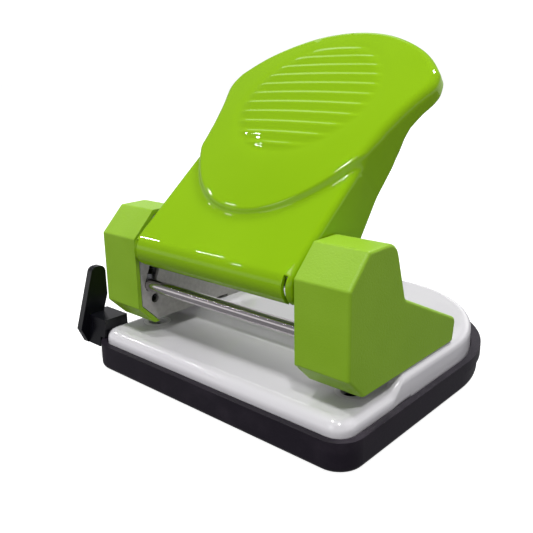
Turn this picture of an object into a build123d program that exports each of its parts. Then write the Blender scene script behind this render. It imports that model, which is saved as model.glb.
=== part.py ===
# Two-hole office punch: a chip tray, a pressed base plate, two punch heads under moulded covers,
# a pressed steel handle between them and a paper guide that slides out at the left.
# Millimetres. X runs across the paper, the paper goes in towards +Y, Z is up.
# The origin is the middle of the tray's underside.
from build123d import *
import math
import os

# Tray and base plate
tray_depth = 105.0
tray_height = 8.7
tray_wall = 2.0
tray_floor = 1.6
tray_bottom_round = 2.0
cover_margin = 3.2
front_corner = 7.5
rear_corner = 44.0
ledge_width = 1.6
ledge_thickness = 1.6
seat_depth = 0.8
lip_reach = 2.2
lip_height = 3.4
plate_thickness = 1.0
plate_inset = 2.4
skirt_height = 5.0
deck_rise = 3.8
step_run = 4.4
plate_round = 3.4

# Punch heads
hole_spacing = 80.0
edge_distance = 12.0
head_setback = 5.4
cover_width = 16.6
cover_rise = 36.9
cover_length = 55.2
cover_crown = 20.3
cover_waist = 25.5
cover_waist_rise = 20.4
cover_tail_rise = 6.6
cover_tail_lean = 1.6
cover_chamfer = 8.0
cover_toe = 6.1
toe_slope = 1.0
crown_round = 5.0
waist_round = 2.4
tail_round = 2.2
corner_round = 0.9
side_round = 0.9
cover_wall = 1.4
cover_side_wall = 1.6
bracket_thickness = 1.2
bracket_gap = 0.2
web_gap = 1.0
foot_length = 7.0

# Lever and what it turns on
nose_depth = 3.7
nose_rise = 26.0
axle_back = 1.0
axle_drop = 0.4
axle_radius = 1.5
handle_slope = 39.0
handle_stroke = 40.0
sheet = 1.2
neck_gap = 0.5
nose_radius = 5.3
curl_sweep = 116.0
slit_start = 10.0
slit_width = 1.2
edge_round = 2.0
handle_length = 93.0
handle_half_width = 39.3
pad_start = 15.0
pad_shares = [(0.0, 0.0), (0.035, 0.293), (0.128, 0.56), (0.233, 0.725), (0.297, 0.796),
              (0.417, 0.845), (0.59, 0.947), (0.673, 1.0), (0.741, 0.975), (0.821, 0.86),
              (0.9, 0.672), (0.973, 0.361), (1.0, 0.0)]
pad_middle = 60.0
pad_rise = 3.6
pad_crown_radius = 430.0
pad_round = 2.2
pad_skirt = 1.7
flange_depth = 12.8
flange_start = 1.0
flange_line = [(14.0, 0.0), (26.0, 2.5), (41.0, 6.4), (50.0, 10.6), (56.0, 13.6)]
flange_end = 61.0
grip_radius = 25.5
grip_depth = 0.5
rib_count = 11
rib_pitch = 4.3
rib_radius = 2.0
rib_height = 0.5
rib_margin = 1.0
drive_arm = 9.2
drive_radius = 2.0
drive_reach = 44.2

# Pins, springs, bushes and dies
pin_radius = 3.0
pin_gap = 0.2
pin_tip_gap = 0.2
pin_head_radius = 4.6
pin_head_height = 2.4
pin_hollow = 0.8
bush_wall = 1.0
bush_shoulder = 0.5
bush_height = 4.8
wire_radius = 0.4
spring_clearance = 0.6
spring_turns = 7
die_wall = 1.6
die_flange_width = 1.0
die_flange = 1.2

# Tie rod, sight hole, rings, washers, rivets and screws
tie_depth = 5.1
tie_rise = 13.2
tie_radius = 2.0
tie_slot_length = 6.5
tie_slot_lean = 22.0
sight_depth = 6.8
sight_rise = 8.2
sight_radius = 1.5
rod_overhang = 2.8
ring_width = 1.1
ring_thickness = 0.6
ring_bite = 0.4
ring_mouth = 2.4
washer_radius = 4.2
rivet_radius = 1.5
rivet_head = 2.2
rivet_head_height = 0.8
screw_radius = 1.4
screw_head = 2.6
screw_head_height = 1.2
screw_bite = 4.0
screw_inset = 5.7
boss_radius = 2.7

# Paper guide
guide_setback = 5.4
bar_width = 6.0
bar_thickness = 2.0
bar_end_gap = 5.9
bar_clearance = 0.2
flag_stand = 9.5
flag_thickness = 2.5
flag_setback = 4.8
flag_rise = 22.3
flag_lean = 6.5
flag_top_width = 5.2
flag_shoulder = 10.7
flag_waist = 9.7
flag_chin = 1.6
flag_toe = 2.3
flag_round = 2.3
guide_foot_rise = 6.1
guide_foot_drop = 3.5
guide_foot_front = 1.0
guide_foot_toe = 1.2
guide_foot_rear = 2.0
rail_inset = 10.5
rail_length = 38.0
rail_wall = 1.0
rail_flange = 3.0
leaf_thickness = 0.4
leaf_width = 4.0
leaf_span = 18.0
leaf_inset = 4.0
leaf_end = 5.0

# Clearances shared by all pieces, and how far a cut reaches past what it cuts
press_clearance = 0.02
turn_clearance = 0.06
rest_clearance = 0.1
part_clearance = 0.3
cut_over = 1.0

# Levels and places that follow
tray_width = hole_spacing + cover_width + 2 * cover_margin
tray_front = -tray_depth / 2
seat_level = tray_height - seat_depth
bed_level = seat_level + skirt_height
deck_level = bed_level + deck_rise
head_front = tray_front + head_setback
pin_x = hole_spacing / 2
cover_inner = pin_x - cover_width / 2
cover_outer = pin_x + cover_width / 2
neck_half_width = cover_inner - neck_gap
bracket_outer = cover_outer - cover_side_wall - bracket_gap
web_level = deck_level + web_gap
nose_y = head_front + nose_depth
nose_level = deck_level + nose_rise
axle_y = nose_y + axle_back
axle_level = nose_level - axle_drop
half_stroke = math.radians(handle_stroke / 2)
pin_y = axle_y + drive_arm * (1 + math.cos(half_stroke)) / 2
drive_y = axle_y + drive_arm * math.cos(half_stroke)
drive_level = axle_level + drive_arm * math.sin(half_stroke)
stop_y = pin_y + edge_distance
die_reach = pin_radius + die_wall + die_flange_width
pin_top = drive_level - drive_radius - pin_gap
pin_tip = web_level + pin_tip_gap
tie_y = head_front + tie_depth
tie_level = deck_level + tie_rise
rod_reach = cover_inner + bracket_thickness + rod_overhang
ring_x = cover_inner + bracket_thickness + rest_clearance
boss_y = head_front + cover_length - screw_inset
bracket_rear = boss_y - boss_radius - part_clearance
foot_front = bracket_rear - foot_length
rivet_y = foot_front + (foot_length + bracket_thickness) / 2
bar_front = tray_front + guide_setback
bar_y = bar_front + bar_width / 2
bar_low = tray_height + bar_clearance
bar_reach = tray_width / 2 - tray_wall - ledge_width - bar_end_gap
rail_reach = tray_width / 2 - rail_inset
flag_reach = tray_width / 2 + flag_stand
SIDES = {"left": -1, "right": 1}


def on_side(shape, side):
    return shape if side > 0 else mirror(shape, Plane.YZ)


def block(xs, ys, zs):
    size = (xs[1] - xs[0], ys[1] - ys[0], zs[1] - zs[0])
    middle = (sum(xs) / 2, sum(ys) / 2, sum(zs) / 2)
    return Pos(*middle) * Box(*size)


def bar_along_x(radius, x_from, x_to, y, z):
    return Pos((x_from + x_to) / 2, y, z) * Rot(0, 90, 0) * Cylinder(radius, x_to - x_from)


def post(radius, x, y, z_from, z_to):
    return Pos(x, y, (z_from + z_to) / 2) * Cylinder(radius, z_to - z_from)


def side_profile(points):
    return make_face(Plane.YZ * Polyline(*points, close=True))


def prism(face, x_from, x_to):
    return Pos(x_from, 0, 0) * extrude(face, amount=x_to - x_from, dir=(1, 0, 0))


def footprint(inset):
    face = Rectangle(tray_width - 2 * inset, tray_depth - 2 * inset)
    front = face.vertices().group_by(Axis.Y)[0]
    face = fillet(front, front_corner - inset)
    rear = face.vertices().group_by(Axis.Y)[-1]
    return fillet(rear, rear_corner - inset)


# Chip tray: a soft tub that holds the plate's skirt and peels off by the lip round its rear
def chip_tray():
    tub = extrude(footprint(0), amount=tray_height)
    tub = fillet(tub.edges().group_by(Axis.Z)[0], tray_bottom_round)
    lip = Pos(0, lip_reach, tray_height - lip_height) * extrude(footprint(0), amount=lip_height)
    tub += lip & block((-tray_width, tray_width), (0, tray_depth), (0, tray_height))
    ledge_top = Pos(0, 0, seat_level) * extrude(footprint(tray_wall), amount=tray_height)
    room = Pos(0, 0, tray_floor) * extrude(footprint(tray_wall + ledge_width), amount=tray_height)
    ledge_low = seat_level - ledge_thickness
    store = Pos(0, 0, tray_floor) * extrude(footprint(tray_wall), amount=ledge_low - tray_floor)
    return tub - (ledge_top + room + store)


# Base plate: one pressing, a low bed for the paper in front and a raised deck behind the step
def plate_form(inset):
    outline = footprint(plate_inset + inset)
    low = seat_level - inset
    bed = bed_level - inset
    deck = deck_level - inset
    front = Pos(0, 0, low) * extrude(outline, amount=bed - low)
    front = fillet(front.edges().group_by(Axis.Z)[-1], plate_round - inset)
    rear = Pos(0, 0, low) * extrude(outline, amount=deck - low)
    rear = fillet(rear.edges().group_by(Axis.Z)[-1], plate_round - inset)
    lean = inset * math.tan(math.atan2(deck_rise, step_run) / 2)
    foot = stop_y - step_run / 2 + lean
    top = stop_y + step_run / 2 + lean
    rise = Spline((foot, bed), (top, deck), tangents=((1, 0), (1, 0)))
    high = deck + cut_over
    rest = Polyline((top, deck), (top, high), (tray_depth, high), (tray_depth, low), (foot, low), (foot, bed))
    behind = prism(make_face(Plane.YZ * (rise + rest)), -tray_width, tray_width)
    return front + (rear & behind)


def base_plate():
    plate = plate_form(0) - plate_form(plate_thickness)
    for side in SIDES.values():
        plate -= post(pin_radius + die_wall + press_clearance, side * pin_x, pin_y, seat_level, deck_level)
        for x in bracket_rivet_places():
            plate -= post(rivet_radius + press_clearance, side * x, rivet_y, bed_level, deck_level + cut_over)
        plate -= post(screw_radius + rest_clearance, side * pin_x, boss_y, bed_level, deck_level + cut_over)
    sides = (bar_front - bar_clearance, bar_front + bar_width + bar_clearance)
    notch_top = bar_low + bar_thickness + bar_clearance
    return plate - block((-tray_width, -rail_reach), sides, (seat_level - cut_over, notch_top))


def bracket_rivet_places():
    edge = bracket_thickness + rivet_head + part_clearance
    return (cover_inner + edge, bracket_outer - edge)


# Side outline of a punch head: drawn for the cover, and drawn smaller for the bracket inside it
def head_outline(inset, rounded):
    spare = 2 * cover_wall
    low = deck_level - spare
    corners = [(0, deck_level + cover_toe), (0, deck_level + cover_rise - cover_chamfer),
               (cover_chamfer, deck_level + cover_rise), (cover_crown, deck_level + cover_rise),
               (cover_waist, deck_level + cover_waist_rise), (cover_length, deck_level + cover_tail_rise),
               (cover_length - cover_tail_lean, low), ((cover_toe + spare) / toe_slope, low)]
    radii = [corner_round, corner_round, corner_round, crown_round, waist_round, tail_round, 0, 0]
    face = make_face(Polyline(*[(head_front + y, z) for y, z in corners], close=True))
    if rounded:
        for (y, z), radius in zip(corners, radii):
            if radius:
                near = face.vertices().sort_by_distance((head_front + y, z, 0))[0]
                face = fillet(near, radius)
    if inset:
        face = offset(face, amount=-inset, kind=Kind.INTERSECTION)
    return Plane.YZ * face


def above(level):
    return block((-tray_width, tray_width), (-tray_depth, tray_depth), (level, level + 2 * tray_depth))


# Cover: a moulded shell, open towards the handle and below, with a screw boss in its tail
def cover():
    body = prism(head_outline(0, True), cover_inner, cover_outer)
    rim = body.faces().sort_by(Axis.X)[-1].edges()
    body = fillet(rim.filter_by(lambda e: e.center().Z > deck_level - 2 * cover_wall), side_round)
    shell = body & above(deck_level)
    inside = prism(head_outline(cover_wall, False), cover_inner - cut_over, cover_outer - cover_side_wall)
    boss = post(boss_radius, pin_x, boss_y, deck_level, deck_level + cover_rise) & shell
    boss -= post(screw_radius, pin_x, boss_y, deck_level - cut_over, deck_level + screw_bite + part_clearance)
    return shell - inside + boss


# Bracket: a folded channel riveted to the deck; it carries the axle, the tie rod and the bush
def bracket():
    outline = head_outline(cover_wall + bracket_gap, False)
    body = prism(outline, cover_inner, bracket_outer)
    fold = foot_front + bracket_thickness
    top = deck_level + cover_rise
    wide = (cover_inner, bracket_outer)
    inner = (cover_inner + bracket_thickness, bracket_outer - bracket_thickness)
    body &= block(wide, (head_front, bracket_rear), (deck_level, top))
    body -= block(wide, (head_front, foot_front), (deck_level, web_level))
    body -= block(inner, (head_front, fold), (web_level + bracket_thickness, top))
    body -= block(inner, (fold - press_clearance, bracket_rear), (deck_level + bracket_thickness, top))
    plate = (cover_inner - cut_over, cover_inner + bracket_thickness + cut_over)
    body -= bar_along_x(axle_radius + press_clearance, *plate, axle_y, axle_level)
    body -= drive_window(*plate)
    body -= tie_slot(*plate)
    body -= bar_along_x(sight_radius, *plate, head_front + sight_depth, deck_level + sight_rise)
    web_top = web_level + bracket_thickness
    body -= post(pin_radius + bush_wall + press_clearance, pin_x, pin_y, deck_level, web_top + cut_over)
    for x in bracket_rivet_places():
        body -= post(rivet_radius + press_clearance, x, rivet_y, deck_level - cut_over, web_top)
    return body


def drive_window(x_from, x_to):
    reach = math.degrees(half_stroke)
    window = make_face(arc_slot(drive_arm, drive_radius + part_clearance, reach))
    place = Plane(origin=(0, axle_y, axle_level), x_dir=(0, 1, 0), z_dir=(1, 0, 0))
    return prism(place * window, x_from, x_to)


def arc_slot(arm, half, reach):
    slot = CenterArc((0, 0), arm - half, -reach, 2 * reach)
    slot += CenterArc((0, 0), arm + half, -reach, 2 * reach)
    for angle, start in ((reach, reach), (-reach, -reach - 180)):
        tip = (arm * math.cos(math.radians(angle)), arm * math.sin(math.radians(angle)))
        slot += CenterArc(tip, half, start, 180)
    return slot


def tie_slot(x_from, x_to):
    lean = math.radians(tie_slot_lean)
    up = Vector(0, math.sin(lean), math.cos(lean))
    middle = Vector(0, tie_y, tie_level) + up * (tie_slot_length / 2)
    slot = SlotCenterToCenter(tie_slot_length, 2 * (tie_radius + rest_clearance))
    return prism(Plane(origin=middle, x_dir=up, z_dir=(1, 0, 0)) * slot, x_from, x_to)


# Handle: one pressing. It is drawn in its own plane: x across, y up the slope, z out of the sheet
def handle_plane():
    slope = math.radians(handle_slope)
    out = (0, -math.sin(slope), math.cos(slope))
    return Plane(origin=(0, nose_y, nose_level), x_dir=(1, 0, 0), z_dir=out)


# Top view of the raised pad: its lower end is a step in the neck, then it flares to a broad round end.
# The shares are of the pad's length and of its half width
def pad_outline(inset):
    along = handle_length - pad_start
    right = [Vector(handle_half_width * width, pad_start + along * up) for up, width in pad_shares]
    left = [Vector(-point.X, point.Y) for point in reversed(right[1:-1])]
    outline = right + left
    moved = []
    for before, point, after in zip(outline[-1:] + outline[:-1], outline, outline[1:] + outline[:1]):
        heading = (after - before).normalized()
        moved.append(point + Vector(-heading.Y, heading.X) * inset)
    return make_face(Spline(*moved, periodic=True))


def crown(drop):
    centre = nose_radius + pad_rise - pad_crown_radius
    return Pos(0, pad_middle, centre) * Rot(0, 90, 0) * Sphere(pad_crown_radius - drop)


def pressing(inset):
    half = neck_half_width - inset
    low = -flange_depth - cut_over
    neck = block((-half, half), (0, pad_middle), (low, nose_radius - inset))
    neck = fillet(neck.edges().filter_by(Axis.Y).group_by(Axis.Z)[-1], edge_round - inset)
    pad = Pos(0, 0, low) * extrude(pad_outline(inset), amount=nose_radius + 2 * pad_rise - low)
    pad &= crown(inset)
    pad = fillet(pad.faces().sort_by(Axis.Z)[-1].edges(), pad_round - inset)
    return neck + pad


def side_silhouette():
    curve = [(place, rise - flange_depth) for place, rise in flange_line]
    curve = [(flange_start, -nose_radius), *curve, (flange_end, pad_skirt)]
    edge = Spline(*curve, tangents=((1, -0.3), (1, 0.1)))
    end = handle_length + nose_radius
    top = nose_radius + 2 * pad_rise
    rest = Polyline(curve[-1], (end, pad_skirt), (end, top), (0, top), (0, -nose_radius), curve[0])
    return make_face(Plane.YZ * (edge + rest))


# Nose: the sheet rolls on round the axle, and a slit on each side parts the roll from the ear
def nose():
    half = neck_half_width
    section = Pos(0, nose_radius / 2) * Rectangle(2 * half, nose_radius)
    section = fillet(section.vertices().group_by(Axis.Y)[-1], edge_round)
    inside = Pos(0, nose_radius / 2 - sheet) * Rectangle(2 * (half - sheet), nose_radius)
    inside = fillet(inside.vertices().group_by(Axis.Y)[-1], edge_round - sheet)
    return section - inside


def roll(section, sweep):
    return revolve(Plane.XZ * section, Axis.X, sweep)


def grip():
    dish = post(grip_radius, 0, pad_middle, 0, 4 * nose_radius) - crown(grip_depth)
    return dish


def ribs():
    centre = nose_radius + pad_rise - pad_crown_radius
    rows = []
    for row in range(rib_count):
        y = pad_middle + (row - (rib_count - 1) / 2) * rib_pitch
        level = math.sqrt((pad_crown_radius - grip_depth) ** 2 - (y - pad_middle) ** 2)
        reach = math.sqrt((grip_radius - rib_margin) ** 2 - (y - pad_middle) ** 2) - rib_radius
        half_turn = math.degrees(math.asin(reach / level))
        middle = Vector(0, y, centre + level + rib_height - rib_radius)
        axis = Axis((0, y, centre), (0, 1, 0))
        bead = Plane.YZ * Pos(middle.Y, middle.Z) * Circle(rib_radius)
        rows.append(revolve(bead.rotate(axis, -half_turn), axis, 2 * half_turn))
        for side in SIDES.values():
            rows.append((Pos(*middle) * Sphere(rib_radius)).rotate(axis, side * half_turn))
    return rows


def handle():
    shell = pressing(0) - pressing(sheet)
    shell &= prism(side_silhouette(), -2 * handle_half_width, 2 * handle_half_width)
    shell -= grip()
    for rib in ribs():
        shell += rib
    section = nose()
    inner = neck_half_width - sheet
    ears = section - Rectangle(2 * inner, 4 * nose_radius)
    curl = section & Rectangle(2 * (inner - slit_width), 4 * nose_radius)
    shell += roll(section, slit_start)
    shell += roll(curl, curl_sweep)
    shell += roll(ears, 180)
    shell = handle_plane() * shell
    holes = (-neck_half_width - cut_over, neck_half_width + cut_over)
    shell -= bar_along_x(axle_radius + turn_clearance, *holes, axle_y, axle_level)
    return shell - bar_along_x(drive_radius + press_clearance, *holes, drive_y, drive_level)


# Rods: each has a groove near both ends, and a spring ring in each groove keeps it in place
def rod(radius, reach, ring_place, y, level):
    body = bar_along_x(radius, -reach, reach, y, level)
    body = chamfer(body.edges().filter_by(GeomType.CIRCLE), part_clearance)
    for side in SIDES.values():
        place = side * (ring_place + ring_thickness / 2)
        groove = (place - ring_thickness / 2 - rest_clearance, place + ring_thickness / 2 + rest_clearance)
        core = bar_along_x(radius - ring_bite, *groove, y, level)
        body -= bar_along_x(radius + cut_over, *groove, y, level) - core
    return body


def ring(radius, ring_place, y, level):
    body = bar_along_x(radius + ring_width, ring_place, ring_place + ring_thickness, y, level)
    sides = (ring_place - cut_over, ring_place + ring_thickness + cut_over)
    body -= bar_along_x(radius - ring_bite + press_clearance, *sides, y, level)
    mouth = (y - ring_mouth / 2, y + ring_mouth / 2)
    return body - block(sides, mouth, (level - 2 * radius - ring_width, level))


def fulcrum_axle():
    return rod(axle_radius, rod_reach, ring_x, axle_y, axle_level)


def drive_rod():
    return rod(drive_radius, drive_reach, drive_ring_x(), drive_y, drive_level)


def drive_ring_x():
    return neck_half_width - sheet - rest_clearance - ring_thickness


def tie_rod():
    return rod(tie_radius, rod_reach, ring_x, tie_y, tie_level)


def pivot_washer():
    sides = (neck_half_width + rest_clearance, cover_inner - rest_clearance)
    body = bar_along_x(washer_radius, *sides, axle_y, axle_level)
    return body - bar_along_x(axle_radius + rest_clearance, *sides, axle_y, axle_level)


# Punch pin: a ground pin under a broad head; its hollow end cuts with its rim
def pin():
    stem = post(pin_radius, pin_x, pin_y, pin_tip, pin_top)
    head = post(pin_head_radius, pin_x, pin_y, pin_top - pin_head_height, pin_top)
    head = chamfer(head.edges().group_by(Axis.Z)[-1], part_clearance)
    rim = pin_radius - part_clearance
    ball = (rim ** 2 + pin_hollow ** 2) / (2 * pin_hollow)
    return stem + head - Pos(pin_x, pin_y, pin_tip + pin_hollow - ball) * Sphere(ball)


def pin_bush():
    top = web_level + bracket_thickness
    body = post(pin_radius + bush_wall, pin_x, pin_y, web_level, top + bush_height)
    body += post(pin_radius + bush_wall + bush_shoulder, pin_x, pin_y, top, top + bush_height)
    high = top + bush_height + cut_over
    return body - post(pin_radius + turn_clearance, pin_x, pin_y, web_level - cut_over, high)


def die():
    seat = bed_level - plate_thickness
    low = seat - die_flange
    body = post(pin_radius + die_wall, pin_x, pin_y, low, bed_level)
    body += post(die_reach, pin_x, pin_y, low, seat)
    return body - post(pin_radius + turn_clearance, pin_x, pin_y, low - cut_over, bed_level + cut_over)


# Return spring: one wire wound round the pin between the bush and the pin's head
def spring_points():
    low = web_level + bracket_thickness + bush_height + rest_clearance + wire_radius
    high = pin_top - pin_head_height - rest_clearance - wire_radius
    radius = pin_radius + spring_clearance + wire_radius
    pitch = (high - low) / spring_turns
    climb = pitch / (2 * math.pi * radius)
    stations = []
    for half in range(2 * spring_turns + 1):
        angle = math.pi * half
        place = Vector(radius * math.cos(angle), radius * math.sin(angle), low + pitch * half / 2)
        heading = Vector(-math.sin(angle), math.cos(angle), climb).normalized()
        stations.append((place, heading))
    return stations, pitch


def biarc(start, start_heading, end, end_heading):
    chord = end - start
    both = start_heading + end_heading
    spread = 2 * (1 - start_heading.dot(end_heading))
    reach = (math.sqrt(chord.dot(both) ** 2 + spread * chord.dot(chord)) - chord.dot(both)) / spread
    middle = (start + end + (start_heading - end_heading) * reach) / 2
    return [TangentArc(start, middle, tangent=start_heading),
            TangentArc(end, middle, tangent=end_heading * -1, tangent_from_first=True)]


def return_spring():
    stations, pitch = spring_points()
    edges = []
    for (start, heading), (end, next_heading) in zip(stations, stations[1:]):
        edges += biarc(start, heading, end, next_heading)
    path = Wire(edges)
    print("spring: least gap between turns", round(pitch - 2 * wire_radius, 2))
    section = Plane(origin=stations[0][0], z_dir=stations[0][1]) * RegularPolygon(wire_radius, 6)
    return Pos(pin_x, pin_y, 0) * sweep(section, path=path)


def rivet(x, y, bottom, top):
    body = post(rivet_radius, x, y, bottom, top)
    for low, high, outer in ((bottom - rivet_head_height, bottom, 0), (top, top + rivet_head_height, -1)):
        head = post(rivet_head, x, y, low, high)
        body += chamfer(head.edges().group_by(Axis.Z)[outer], rivet_head_height / 2)
    return body


def cover_screw():
    low = deck_level - plate_thickness
    body = post(screw_radius, pin_x, boss_y, low - screw_head_height, deck_level + screw_bite)
    return body + post(screw_head, pin_x, boss_y, low - screw_head_height, low)


# Paper guide: one moulding, a flag and its foot beside the tray, on a bar that slides under the bed
def paper_guide():
    tray_side = -tray_width / 2 - part_clearance
    skirt_side = -tray_width / 2 + plate_inset - part_clearance
    bar_top = bar_low + bar_thickness
    body = block((tray_side - cut_over, bar_reach), (bar_front, bar_front + bar_width), (bar_low, bar_top))
    low = bar_low - guide_foot_drop
    high = bar_low + guide_foot_rise
    front = bar_front - guide_foot_front
    rear = bar_front + bar_width + guide_foot_rear
    foot = side_profile([(front - guide_foot_toe, low), (front, high), (rear, high), (rear, low)])
    body += prism(foot, -flag_reach, tray_side)
    body += prism(foot, -flag_reach, skirt_side) & above(bar_low)
    edge = bar_front - flag_setback
    top = bar_low + flag_rise
    back = edge + flag_lean + flag_top_width
    flag = [(edge + flag_toe, low), (edge, bar_low + flag_chin), (edge + flag_lean, top), (back, top),
            (back, top - flag_shoulder), (edge + flag_waist, high), (edge + flag_waist, low)]
    face = side_profile(flag)
    face = fillet(face.vertices().group_by(Axis.Z)[-1], flag_round)
    return body + prism(face, -flag_reach, -flag_reach + flag_thickness)


# Guide rail: a folded channel under the bar, spot welded to the bed by its rear flange, which makes
# room for the die
def guide_rail():
    top = bed_level - plate_thickness
    low = bar_low - bar_clearance - rail_wall
    half = bar_width / 2 + bar_clearance
    front = bar_y - half - rail_wall
    rear = bar_y + half
    section = [(front, low), (front, top - rail_wall), (front + rail_wall, top - rail_wall),
               (front + rail_wall, low + rail_wall), (rear, low + rail_wall), (rear, top),
               (rear + rail_wall + rail_flange, top), (rear + rail_wall + rail_flange, top - rail_wall),
               (rear + rail_wall, top - rail_wall), (rear + rail_wall, low)]
    rail = prism(side_profile(section), -rail_reach, -rail_reach + rail_length)
    return rail - post(die_reach + part_clearance, -pin_x, pin_y, low, top + cut_over)


# Guide spring: a bowed leaf welded under the bed by its flat end; it bears on the bar and holds its place
def guide_spring():
    top = bed_level - plate_thickness
    low = bar_low + bar_thickness + rest_clearance + leaf_thickness
    end = -rail_reach + rail_length - leaf_inset
    start = end - leaf_end
    bow = ThreePointArc((start, top), (start - leaf_span / 2, low), (start - leaf_span, top - rest_clearance))
    under = Pos(0, -leaf_thickness) * bow
    ends = [Line(bow @ 0, under @ 0), Line(bow @ 1, under @ 1)]
    strip = Plane.XZ * make_face([bow, under, *ends])
    strip = extrude(strip, amount=leaf_width / 2, both=True)
    half = leaf_width / 2
    strip += block((start - bar_clearance, end), (-half, half), (top - leaf_thickness, top))
    return Pos(0, bar_y, 0) * strip


def all_nodes():
    low = deck_level - plate_thickness
    nodes = {"chip_tray": chip_tray(), "base_plate": base_plate(), "handle": handle(),
             "fulcrum_axle": fulcrum_axle(), "drive_rod": drive_rod(), "tie_rod": tie_rod(),
             "paper_guide": paper_guide(), "guide_rail": guide_rail(), "guide_spring": guide_spring()}
    halves = {"cover": cover(), "bracket": bracket(), "pin": pin(), "pin_bush": pin_bush(), "die": die(),
              "return_spring": return_spring(), "pivot_washer": pivot_washer(), "cover_screw": cover_screw(),
              "axle_ring": ring(axle_radius, ring_x, axle_y, axle_level),
              "tie_ring": ring(tie_radius, ring_x, tie_y, tie_level),
              "drive_ring": ring(drive_radius, drive_ring_x(), drive_y, drive_level)}
    for place, x in zip(("inner", "outer"), bracket_rivet_places()):
        halves["bracket_" + place + "_rivet"] = rivet(x, rivet_y, low, deck_level + bracket_thickness)
    for name, side in SIDES.items():
        for piece, shape in halves.items():
            nodes[name + "_" + piece] = on_side(shape, side)
    return nodes


if __name__ == "__main__":
    os.makedirs("parts", exist_ok=True)
    for name, shape in all_nodes().items():
        export_step(shape, "parts/" + name + ".step")
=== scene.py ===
import math

import bmesh
import bpy
import numpy as np
from mathutils import Matrix, Vector
from mathutils.geometry import tessellate_polygon


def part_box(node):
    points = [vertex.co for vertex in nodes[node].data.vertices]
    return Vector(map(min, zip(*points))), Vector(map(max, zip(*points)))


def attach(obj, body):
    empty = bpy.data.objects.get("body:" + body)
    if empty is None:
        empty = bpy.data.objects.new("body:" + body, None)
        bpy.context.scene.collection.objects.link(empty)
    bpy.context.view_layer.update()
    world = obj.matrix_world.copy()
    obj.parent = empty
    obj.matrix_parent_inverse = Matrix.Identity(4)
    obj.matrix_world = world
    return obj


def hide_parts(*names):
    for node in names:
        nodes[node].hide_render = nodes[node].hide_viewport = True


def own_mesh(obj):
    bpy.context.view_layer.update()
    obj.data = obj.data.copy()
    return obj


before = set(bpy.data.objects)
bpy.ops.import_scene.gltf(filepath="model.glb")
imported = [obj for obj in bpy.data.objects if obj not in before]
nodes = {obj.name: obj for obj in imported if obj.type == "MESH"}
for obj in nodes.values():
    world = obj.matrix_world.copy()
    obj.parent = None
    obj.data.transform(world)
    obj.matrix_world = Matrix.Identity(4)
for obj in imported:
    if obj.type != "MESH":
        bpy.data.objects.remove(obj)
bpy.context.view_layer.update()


# Chip tray. A tub moulded in soft dark plastic that grips the skirt of the base plate. Its walls
# are slightly matt, and handling leaves them a little rubbed.
class Value:
    """A number, colour or vector that varies over a surface. Sums of it add Math nodes."""

    def __init__(self, socket):
        self.socket = socket

    def node(self, kind, settings, sockets, output=0):
        tree = self.socket.id_data
        made = tree.nodes.new(kind)
        for name, setting in settings.items():
            setattr(made, name, setting)
        for name, value in sockets.items():
            if isinstance(value, Value):
                tree.links.new(value.socket, made.inputs[name])
            else:
                made.inputs[name].default_value = value
        return Value(made.outputs[output])

    def sum(self, operation, *values):
        return self.node("ShaderNodeMath", {"operation": operation}, dict(enumerate(values)))

    def __add__(self, other):
        return self.sum("ADD", self, other)

    def __radd__(self, other):
        return self.sum("ADD", other, self)

    def __sub__(self, other):
        return self.sum("SUBTRACT", self, other)

    def __rsub__(self, other):
        return self.sum("SUBTRACT", other, self)

    def __mul__(self, other):
        return self.sum("MULTIPLY", self, other)

    def __rmul__(self, other):
        return self.sum("MULTIPLY", other, self)

    def stretched(self, scale):
        return self.node("ShaderNodeVectorMath", {"operation": "MULTIPLY"}, {0: self, 1: scale})

    def noise(self, per_metre, detail=2.0, roughness=0.5):
        return self.node("ShaderNodeTexNoise", {}, {"Vector": self, "Scale": per_metre,
                                                    "Detail": detail, "Roughness": roughness})

    def between(self, low, high):
        return self.node("ShaderNodeMapRange", {"interpolation_type": "SMOOTHSTEP"},
                         {"Value": self, "From Min": low, "From Max": high})

    def tint(self, dark, light):
        return self.node("ShaderNodeMix", {"data_type": "RGBA"},
                         {"Factor": self, "A": dark + (1.0,), "B": light + (1.0,)}, output=2)

    def bump(self, depth):
        return self.node("ShaderNodeBump", {}, {"Height": self, "Distance": depth})


class Finish:
    """One material: a Principled shader, and the place on the piece that its maps start from."""

    def __init__(self, name, metallic=0.0, coat=0.0, coat_roughness=0.03, specular=0.5):
        self.material = bpy.data.materials.new(name)
        self.material.use_nodes = True
        tree = self.material.node_tree
        self.shader = tree.nodes["Principled BSDF"]
        self.set("Metallic", metallic)
        self.set("Coat Weight", coat)
        self.set("Coat Roughness", coat_roughness)
        self.set("Specular IOR Level", specular)
        self.place = Value(tree.nodes.new("ShaderNodeTexCoord").outputs["Object"])

    def set(self, name, value):
        if isinstance(value, Value):
            self.material.node_tree.links.new(value.socket, self.shader.inputs[name])
        else:
            self.shader.inputs[name].default_value = value

    def on(self, *names):
        for name in names:
            mesh = nodes[name].data
            mesh.materials.clear()
            mesh.materials.append(self.material)


tray = Finish("tray_soft_plastic", specular=0.22)
scuff = tray.place.noise(90.0, 4.0, 0.6).between(0.42, 0.72)
grain = tray.place.noise(3000.0)
tray.set("Base Color", scuff.tint((0.009, 0.006, 0.012), (0.019, 0.014, 0.022)))
tray.set("Roughness", 0.40 + 0.16 * scuff)
tray.set("Normal", grain.bump(0.00004))
tray.on("chip_tray")


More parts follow.
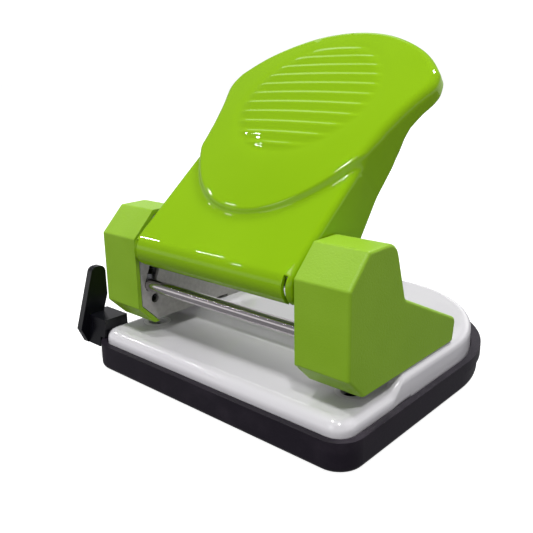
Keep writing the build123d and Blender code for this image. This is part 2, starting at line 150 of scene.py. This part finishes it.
# Base plate. One steel pressing, a low bed for the sheet and a raised deck, in thick white enamel
# that has run smooth over every bend.
plate = Finish("plate_white_enamel", coat=0.6, coat_roughness=0.04)
flow = plate.place.noise(140.0)
cloud = plate.place.noise(24.0).between(0.35, 0.7)
plate.set("Base Color", cloud.tint((0.652, 0.636, 0.668), (0.686, 0.672, 0.696)))
plate.set("Roughness", 0.22)
plate.set("Normal", flow.bump(0.00006))
plate.on("base_plate")


# Rim swells. At both sides the plate's rounded rim rises from the bed to the deck in one soft
# curve of thick enamel, a thin skin on the pressing whose edges dip under its surface.
# All sizes are in millimetres.
bed_level = 12.9
deck_level = 16.7
wall_foot = 8.0
plate_side = 49.1
plate_round = 3.4
step_foot = -23.68
step_top = -19.28
swell_depth = 5.0
swell_lead = 4.6
lead_width = 4.0
run_in = 1.0
run_out = 1.2
least_run = 0.01
sooner_on_bend = 1.25
sooner_on_wall = 0.3
skin_lift = 0.05
skin_thickness = 0.4
fade_along = 0.9
fade_across = 0.8
swell_lines = 40
flat_points = 5
bend_points = 13
wall_points = 4


def soft_step(value):
    """0 for all values up to 0, 1 from 1 on, and a soft curve between the two."""
    clipped = np.clip(value, 0.0, 1.0)
    return clipped * clipped * (3 - 2 * clipped)


def strip_faces(lines, width, closed=False):
    """The faces between lines of points that lie side by side, each line of the same width."""
    faces = []
    for start in range(0, (lines - 1) * width, width):
        for at in range(width if closed else width - 1):
            beside = (at + 1) % width
            faces.append((start + at, start + beside, start + width + beside, start + width + at))
    return faces


def new_piece(name, points, faces, finish):
    mesh = bpy.data.meshes.new(name)
    mesh.from_pydata(points, [], faces)
    mesh.shade_smooth()
    mesh.materials.append(finish.material)
    piece = bpy.data.objects.new(name, mesh)
    bpy.context.scene.collection.objects.link(piece)
    return piece


step_rise = deck_level - bed_level
inner_edge = plate_side - swell_depth
bend_start = plate_side - plate_round
swell_start = step_foot - swell_lead - run_in
swell_end = step_top + run_out
bend = np.linspace(0.0, math.pi / 2, bend_points)
lean = np.concatenate((np.zeros(flat_points), bend, np.full(wall_points, math.pi / 2)))
outward = np.concatenate((np.linspace(inner_edge, bend_start, flat_points, endpoint=False),
                          bend_start + plate_round * np.sin(bend),
                          np.full(wall_points, plate_side)))
wall_share = np.concatenate((np.zeros(flat_points + bend_points),
                             np.linspace(1 / wall_points, 1.0, wall_points)))
drop = plate_round * (1 - np.cos(lean))
lead = swell_lead * soft_step((outward - inner_edge) / lead_width)
climb = (1 - sooner_on_bend * np.sqrt(drop / (3 * step_rise))
         - sooner_on_wall * (drop / plate_round) ** 2)
run = (step_top - step_foot) * np.maximum(0.0, climb) + lead + least_run
for side, sign in (("left", -1), ("right", 1)):
    points = []
    for y in np.linspace(swell_start, swell_end, swell_lines):
        level = bed_level + step_rise * soft_step((y - step_foot + lead) / run)
        height = level - drop + (wall_foot - level + plate_round) * wall_share
        from_end = min(y - swell_start, swell_end - y)
        faded = soft_step(from_end / fade_along) * soft_step((outward - inner_edge) / fade_across)
        lift = skin_lift * (2 * faded - 1)
        line = (sign * (outward + lift * np.sin(lean)), np.full_like(outward, y),
                height + lift * np.cos(lean))
        points.extend((np.stack(line, axis=1) / 1000).tolist())
    faces = strip_faces(swell_lines, len(outward))
    if sign < 0:
        faces = [face[::-1] for face in faces]
    swell = new_piece(side + "_rim_swell", points, faces, plate)
    skin = swell.modifiers.new("film", "SOLIDIFY")
    skin.thickness = skin_thickness / 1000
    skin.offset = -1.0
    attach(swell, "base")


# Brackets. Folded steel channels riveted to the deck, one under each cover, in warm grey enamel
# with a fine speck.
bracket = Finish("bracket_grey_enamel")
speck = bracket.place.noise(900.0, 3.0)
mottle = speck.between(0.3, 0.7)
bracket.set("Base Color", mottle.tint((0.310, 0.300, 0.288), (0.375, 0.362, 0.350)))
bracket.set("Roughness", 0.36)
bracket.set("Normal", speck.bump(0.00002))
bracket.on("left_bracket", "right_bracket")


# Pins, bushes, rivets, screws, washers, the axle, the drive rod and the guide's rail. Plain steel,
# most of it turned, with fine tool marks round it.
steel = Finish("turned_steel", metallic=1.0)
marks = steel.place.stretched((1.0, 1.0, 12.0)).noise(700.0)
steel.set("Base Color", marks.tint((0.42, 0.42, 0.43), (0.56, 0.56, 0.57)))
steel.set("Roughness", 0.36 + 0.16 * marks)
steel.set("Normal", marks.bump(0.00001))
for side in ("left", "right"):
    steel.on(side + "_pin", side + "_pin_bush", side + "_cover_screw",
             side + "_bracket_inner_rivet", side + "_bracket_outer_rivet", side + "_pivot_washer")
steel.on("fulcrum_axle", "drive_rod", "guide_rail")


# Dies. Hard steel rings let into the bed, ground flat and level with it, and worn pale and dull
# by paper.
die_steel = Finish("ground_die_steel", metallic=1.0)
worn = die_steel.place.noise(900.0)
die_steel.set("Base Color", worn.tint((0.74, 0.74, 0.73), (0.84, 0.84, 0.83)))
die_steel.set("Roughness", 0.52 + 0.12 * worn)
die_steel.on("left_die", "right_die")


# Retaining rings on the rods and the leaf in the guide's rail. Stamped from spring steel that is
# blued by its heat treatment.
spring = Finish("spring_steel", metallic=1.0)
drawn = spring.place.noise(1500.0)
spring.set("Base Color", drawn.tint((0.14, 0.145, 0.16), (0.24, 0.24, 0.26)))
spring.set("Roughness", 0.30 + 0.12 * drawn)
for side in ("left", "right"):
    spring.on(side + "_axle_ring", side + "_tie_ring", side + "_drive_ring")
spring.on("guide_spring")


# Return springs. One round each pin, wound from round wire, with the turns closer at both ends.
# On the punch they close up as the pins go down; each coil here is built at one fixed length. Sizes
# are in metres.
wire_radius = 0.0004
wire_corners = 12
coils = 7
coil_steps = 32 * coils
end_crowding = 0.05
for side in ("left", "right"):
    low, high = (Vector(corner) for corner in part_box(side + "_return_spring"))
    centre = (low + high) / 2
    coil_radius = (high.x - low.x) / 2 - wire_radius
    coil_climb = high.z - low.z - 2 * wire_radius
    points = []
    for share in np.linspace(0.0, 1.0, coil_steps + 1).tolist():
        turn = 2 * math.pi * coils * share
        crowded = share - end_crowding * math.sin(2 * math.pi * share)
        level = low.z + wire_radius + coil_climb * crowded
        for corner in range(wire_corners):
            spin = 2 * math.pi * corner / wire_corners
            reach = coil_radius + wire_radius * math.cos(spin)
            points.append((centre.x + reach * math.cos(turn), centre.y + reach * math.sin(turn),
                           level + wire_radius * math.sin(spin)))
    faces = [face[::-1] for face in strip_faces(coil_steps + 1, wire_corners, closed=True)]
    faces.append(tuple(range(wire_corners)))
    faces.append(tuple(range(len(points) - 1, len(points) - 1 - wire_corners, -1)))
    coil = new_piece(side + "_coil", points, faces, spring)
    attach(coil, "base")
    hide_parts(side + "_return_spring")
    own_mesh(coil)


# Tie rod. A bright chromed rod that joins the two brackets and lies at the foot of their slots.
# Fine grinding lines run along it.
chrome = Finish("chromed_rod", metallic=1.0)
grinding = chrome.place.stretched((1.0, 14.0, 14.0)).noise(260.0)
chrome.set("Base Color", (0.58, 0.545, 0.555, 1.0))
chrome.set("Roughness", 0.16 + 0.06 * grinding)
chrome.set("Normal", grinding.bump(0.000001))
chrome.on("tie_rod")


# Covers. Lime green mouldings clipped over the brackets, with a fine spark-eroded grain outside
# and softly rounded edges.
cover = Finish("cover_lime_plastic", specular=0.3)
pits = cover.place.noise(1700.0, 3.0, 0.65)
shade = cover.place.noise(60.0).between(0.3, 0.7)
cover.set("Base Color", shade.tint((0.222, 0.405, 0.012), (0.240, 0.430, 0.018)))
cover.set("Roughness", 0.30 + 0.20 * pits)
cover.set("Normal", pits.bump(0.00007))
cover.on("left_cover", "right_cover")
for side in ("left", "right"):
    rounding = nodes[side + "_cover"].modifiers.new("soft_edges", "BEVEL")
    rounding.width = 0.0011
    rounding.segments = 4
    rounding.limit_method = "ANGLE"
    rounding.angle_limit = math.radians(24)
    rounding.harden_normals = True


# Handle. One steel pressing in deep gloss lime enamel: rolled round the axle at its nose, folded
# down into two flanges and drawn up into an egg-shaped pad with a dished, ribbed grip. Its plane,
# in millimetres: x across, s up the slope from the middle of the nose, n out of the sheet.
nose_y = -43.4
nose_z = 42.7
slope = math.radians(39.0)
sheet = 1.2
roll_radius = 5.3
roll_sweep = 116.0
ear_sweep = 180.0
slit_from = 10.0
ear_turn = 66.42
neck_half = 31.2
neck_end = 36.0
edge_round = 2.0
pad_edge_round = 2.6
edge_change = 12.0
pad_lift = 3.6
pad_middle = 60.0
crown_radius = 430.0
tip = 93.0
egg_start = 15.0
egg_bow = 0.019
egg_flare = 5.16e-6
egg_flare_lean = 2.06e-5
egg_soft = 0.75
grip_middle = 60.6
grip_radius = 25.3
grip_depth = 0.16
grip_soft = 4.0
rib_pitch = 4.3
rib_height = 0.42
rib_skew = 0.6
rib_inset = 0.4
rib_fade = 4.5
axle_hole = (0.525, -0.94, 1.6)
rod_hole = (9.22, -3.93, 2.05)
hole_corners = 24
sheet_lines = 244
pad_columns = 132
slit_steps = 2
roll_steps = 23
ear_steps = 4
flange_steps = 8
ear_foot_points = 60
past_neck = 6.0
short_of_neck = 0.5
merge_distance = 0.000002
outline_points = [(31.2, 0), (31.2, 12), (31.2, 24), (31.2, 30), (31.2, 36), (31.8, 41), (32.7, 45),
                  (33.3, 48), (34.1, 51), (35.2, 55), (36.4, 58.5), (37.8, 62), (38.9, 65),
                  (39.3, 68), (39.0, 70.5), (38.3, 73), (36.2, 76), (33.7, 79), (30.6, 82),
                  (26.5, 85), (21.2, 88), (13.9, 91), (7.0, 92.5)]
flange_points = [(0, -4.6), (1, -5.3), (7, -9.9), (14, -12.6), (20, -11.9), (26, -10.4), (34, -8.3),
                 (41, -6.4), (46, -4.4), (50, -2.3), (53, -0.3), (56, 1.0), (61, 1.7), (68, 1.7),
                 (74, 2.2)]


def smooth_curve(points, count):
    """Evenly spaced points on a smooth curve through the given ones."""
    knots = np.array(points, dtype=float)
    run = np.concatenate(([0.0], np.cumsum(np.linalg.norm(np.diff(knots, axis=0), axis=1))))
    slopes = np.gradient(knots, run, axis=0)
    at = np.linspace(0.0, run[-1], count)
    span = np.clip(np.searchsorted(run, at, side="right") - 1, 0, len(knots) - 2)
    step = (run[span + 1] - run[span])[:, None]
    t = (at - run[span])[:, None] / step
    start, stop = knots[span], knots[span + 1]
    return ((1 + 2 * t) * (1 - t) ** 2 * start + t * (1 - t) ** 2 * step * slopes[span]
            + t ** 2 * (3 - 2 * t) * stop + t ** 2 * (t - 1) * step * slopes[span + 1])


def sheet_height(x, s):
    """How far the outer face of the sheet stands out of the handle's plane."""
    egg = egg_start + egg_bow * x ** 2 + egg_flare * x ** 4
    egg_lean = 2 * egg_bow * x + egg_flare_lean * x ** 3
    inside = (s - egg) / np.sqrt(1 + egg_lean ** 2)
    crown = np.sqrt(crown_radius ** 2 - x ** 2 - (s - pad_middle) ** 2) - crown_radius
    pad = roll_radius + pad_lift + crown
    radius = np.sqrt(x ** 2 + (s - grip_middle) ** 2)
    pad = pad - grip_depth * soft_step((grip_radius - radius) / grip_soft + 0.5)
    turn = 2 * math.pi * (s - grip_middle) / rib_pitch
    wave = 0.5 + 0.5 * np.cos(turn - rib_skew * np.cos(turn))
    pad = pad + rib_height * wave * soft_step((grip_radius - rib_inset - radius) / rib_fade)
    return roll_radius + (pad - roll_radius) * soft_step(0.5 + inside / (2 * egg_soft))


mirrored = [(-x, s) for x, s in reversed(outline_points)]
whole_outline = smooth_curve(outline_points + [(0, tip)] + mirrored, 2 * sheet_lines + 1)
outline = whole_outline[:sheet_lines + 1]
heading = np.gradient(outline, axis=0)
heading /= np.linalg.norm(heading, axis=1)[:, None]
inward = np.stack((-heading[:, 1], heading[:, 0]), axis=1)
edge_turns = np.radians([0.0, 13.0, 26.0, 40.0, 53.0, ear_turn, 78.0])
last = 2 * len(edge_turns) + pad_columns


def sheet_line(place):
    """One line of points across the sheet, from its left edge over the pad to its right edge."""
    x, s = outline[place]
    rounding = edge_round + (pad_edge_round - edge_round) * soft_step((s - neck_end) / edge_change)
    along = rounding * (1 - np.cos(edge_turns))
    right_x = x + inward[place, 0] * along
    right_s = s + inward[place, 1] * along
    right_n = sheet_height(right_x, right_s) - rounding * (1 - np.sin(edge_turns))
    right = np.stack((right_x, right_s, right_n), axis=1)
    inner_x, inner_s = outline[place] + inward[place] * rounding
    middle_x = np.linspace(-inner_x, inner_x, pad_columns + 1)
    middle_s = np.full(pad_columns + 1, inner_s)
    middle = np.stack((middle_x, middle_s, sheet_height(middle_x, middle_s)), axis=1)
    return np.concatenate((right * (-1, 1, 1), middle, right[::-1]))


pressing = bmesh.new()


def point_at(x, s, n):
    """A new corner of the pressing, at a place in the handle's plane."""
    y = nose_y + s * math.cos(slope) - n * math.sin(slope)
    z = nose_z + s * math.sin(slope) + n * math.cos(slope)
    return pressing.verts.new(Vector((x, y, z)) / 1000)


lines = [sheet_line(place) for place in range(sheet_lines)]
grid = [[point_at(*point) for point in line] for line in lines]
for near, far in zip(grid, grid[1:]):
    for corners in zip(near, near[1:], far[1:], far):
        pressing.faces.new(corners)
pressing.faces.new(grid[-1])

roll_angles = np.concatenate((np.linspace(0.0, slit_from, slit_steps + 1),
                              np.linspace(slit_from, roll_sweep, roll_steps + 1)[1:],
                              np.linspace(roll_sweep, ear_sweep, ear_steps + 1)[1:]))
roll = [grid[0]]
for turn in np.radians(roll_angles[1:]):
    roll.append([point_at(x, -n * math.sin(turn), n * math.cos(turn)) for x, s, n in lines[0]])
ear = len(edge_turns) - 2
for near, far, reached in zip(roll, roll[1:], roll_angles[1:]):
    for at in range(last):
        from_side = min(at, last - 1 - at)
        if from_side < ear:
            sweep = ear_sweep
        elif from_side <= len(edge_turns):
            sweep = slit_from
        else:
            sweep = roll_sweep
        if reached <= sweep:
            pressing.faces.new((near[at], far[at], far[at + 1], near[at + 1]))

neck_line = int(np.argmin(abs(outline[:sheet_lines // 2, 1] - neck_end)))
flange_s, flange_n = np.array(flange_points).T
neck_points = [point for point in flange_points if point[0] <= neck_end + past_neck]
ear_curve = smooth_curve(neck_points, ear_foot_points)
tip_edges = []
for sign, edge in ((-1, 0), (1, last)):
    flange = []
    for place in range(neck_line, sheet_lines):
        x, s, n = lines[place][edge]
        foot = float(np.interp(s, flange_s, flange_n))
        flange.append([grid[place][edge]] + [point_at(x, s, n + (foot - n) * step / flange_steps)
                                             for step in range(1, flange_steps + 1)])
    tip_edges.append(flange[-1])
    for near, far in zip(flange, flange[1:]):
        for corners in zip(near, near[1:], far[1:], far):
            pressing.faces.new(corners)
    ear_foot = [point_at(sign * neck_half, s, n) for s, n in ear_curve
                if s < neck_end - short_of_neck]
    rim = [grid[place][edge] for place in range(neck_line, -1, -1)]
    rim += [line[edge] for line in roll[1:]] + ear_foot + flange[0][:0:-1]
    loops = [rim]
    for s, n, radius in (axle_hole, rod_hole):
        hole = []
        for turn in np.linspace(0.0, 2 * math.pi, hole_corners, endpoint=False):
            hole.append(point_at(sign * neck_half, s + radius * math.cos(turn),
                                 n + radius * math.sin(turn)))
        loops.append(hole)
    corners = [corner for loop in loops for corner in loop]
    for triangle in tessellate_polygon([[corner.co for corner in loop] for loop in loops]):
        pressing.faces.new([corners[index] for index in triangle])
left_edge, right_edge = tip_edges
for corners in zip(left_edge, left_edge[1:], right_edge[1:], right_edge):
    pressing.faces.new(corners)

loose = [corner for corner in pressing.verts if not corner.link_faces]
bmesh.ops.delete(pressing, geom=loose, context="VERTS")
bmesh.ops.remove_doubles(pressing, verts=pressing.verts, dist=merge_distance)
bmesh.ops.dissolve_degenerate(pressing, dist=merge_distance, edges=pressing.edges)
bmesh.ops.recalc_face_normals(pressing, faces=pressing.faces)
highest = max(pressing.faces, key=lambda face: face.calc_center_median().z)
if highest.normal.z < 0:
    bmesh.ops.reverse_faces(pressing, faces=pressing.faces)

paint = Finish("handle_lime_enamel", coat=0.6, coat_roughness=0.01, specular=0.0)
peel = paint.place.noise(260.0, 1.0)
pool = paint.place.noise(30.0).between(0.3, 0.7)
paint.set("Base Color", pool.tint((0.203, 0.385, 0.001), (0.214, 0.400, 0.002)))
paint.set("Roughness", 0.5)
paint.set("Normal", peel.bump(0.00001))
paint.on("handle")

handle = new_piece("handle_pressing", [], [], paint)
pressing.to_mesh(handle.data)
pressing.free()
handle.data.shade_smooth()
thick = handle.modifiers.new("sheet", "SOLIDIFY")
thick.thickness = sheet / 1000
thick.offset = -1.0
soft = handle.modifiers.new("edges", "BEVEL")
soft.width = 0.0002
soft.segments = 2
soft.limit_method = "ANGLE"
soft.angle_limit = math.radians(55)
flat = handle.modifiers.new("flat_sides", "WEIGHTED_NORMAL")
flat.weight = 100
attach(handle, "handle")
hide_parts("handle")


# Paper guide. A glossy black moulding, a flag on a flat bar that slides in the rail under the bed,
# with the slight hollows that plastic gets as it cools.
black = Finish("guide_black_plastic", specular=0.4)
sink = black.place.noise(180.0)
black.set("Base Color", (0.002, 0.002, 0.004, 1.0))
black.set("Roughness", 0.24 + 0.10 * sink)
black.set("Normal", sink.bump(0.00005))
black.on("paper_guide")


# Desk, light and camera: a plain pale floor, wide soft lamps and the photograph's viewing angle.
# The floor stays out of the soft bounce, so that the sides of the punch keep their shade.
pale = Finish("pale_floor", specular=0.0)
pale.set("Base Color", (0.35, 0.35, 0.35, 1.0))
pale.set("Roughness", 0.9)
pale.set("Emission Color", (1.0, 1.0, 1.0, 1.0))
pale.set("Emission Strength", 0.90)
half_floor = 6.0
floor = new_piece("floor", [(-half_floor, -half_floor, 0), (half_floor, -half_floor, 0),
                            (half_floor, half_floor, 0), (-half_floor, half_floor, 0)],
                  [(0, 1, 2, 3)], pale)
floor.visible_diffuse = False
floor.visible_glossy = False

studio = bpy.data.worlds.new("studio")
studio.use_nodes = True
tree = studio.node_tree
direction = Value(tree.nodes.new("ShaderNodeTexCoord").outputs["Generated"])
upwards = direction.node("ShaderNodeSeparateXYZ", {}, {0: direction}, output=2)
wall = upwards.between(-0.06, -0.01) * (1.0 - upwards.between(0.17, 0.30))
glow = wall.tint((0.25, 0.25, 0.26), (1.04, 1.04, 1.04))
tree.links.new(glow.socket, tree.nodes["Background"].inputs["Color"])
bpy.context.scene.world = studio
bpy.context.scene.view_settings.view_transform = "Standard"


punch_middle = Vector((0.0, 0.0, 0.05))


def lamp(name, place, width, height, power):
    """A soft rectangular lamp that faces the middle of the punch."""
    light = bpy.data.lights.new(name, "AREA")
    light.shape = "RECTANGLE"
    light.size = width
    light.size_y = height
    light.energy = power
    holder = bpy.data.objects.new(name, light)
    holder.location = place
    away = Vector(place) - punch_middle
    holder.rotation_euler = away.to_track_quat("Z", "Y").to_euler()
    bpy.context.scene.collection.objects.link(holder)


lamp("ceiling_right", (0.53, -0.52, 1.24), 0.12, 0.12, 7.5)
lamp("ceiling_left", (-0.35, -0.46, 1.32), 0.12, 0.12, 7.0)
lamp("rear_box", (-0.72, 0.74, 0.86), 0.60, 0.45, 1.1)
lamp("ceiling_rear", (0.12, 0.74, 1.30), 0.30, 0.30, 17.0)
lamp("front_box", (-0.10, -0.90, 0.40), 0.40, 0.35, 1.2)
lamp("spot_left", (-1.17, -0.24, 0.97), 0.02, 0.08, 0.5)
lamp("spot_middle", (-1.05, -0.33, 1.07), 0.015, 0.08, 0.4)
lamp("spot_front", (-1.00, -0.75, 0.91), 0.02, 0.03, 0.15)

azimuth, elevation, tilt = math.radians(42.716), math.radians(15.321), math.radians(-1.189)
back = Vector((math.sin(azimuth) * math.cos(elevation), -math.cos(azimuth) * math.cos(elevation),
               math.sin(elevation)))
level_right = Vector((math.cos(azimuth), math.sin(azimuth), 0.0))
right = math.cos(tilt) * level_right + math.sin(tilt) * back.cross(level_right)
lens = bpy.data.cameras.new("camera")
lens.sensor_width = 36.0
lens.lens = 44.97
lens.shift_x = 0.0188
lens.shift_y = -0.0277
lens.clip_start = 0.01
camera = bpy.data.objects.new("camera", lens)
camera.matrix_world = Matrix((right, back.cross(right), back)).transposed().to_4x4()
camera.location = (0.130474, -0.167407, 0.095327)
bpy.context.scene.collection.objects.link(camera)
bpy.context.scene.camera = camera
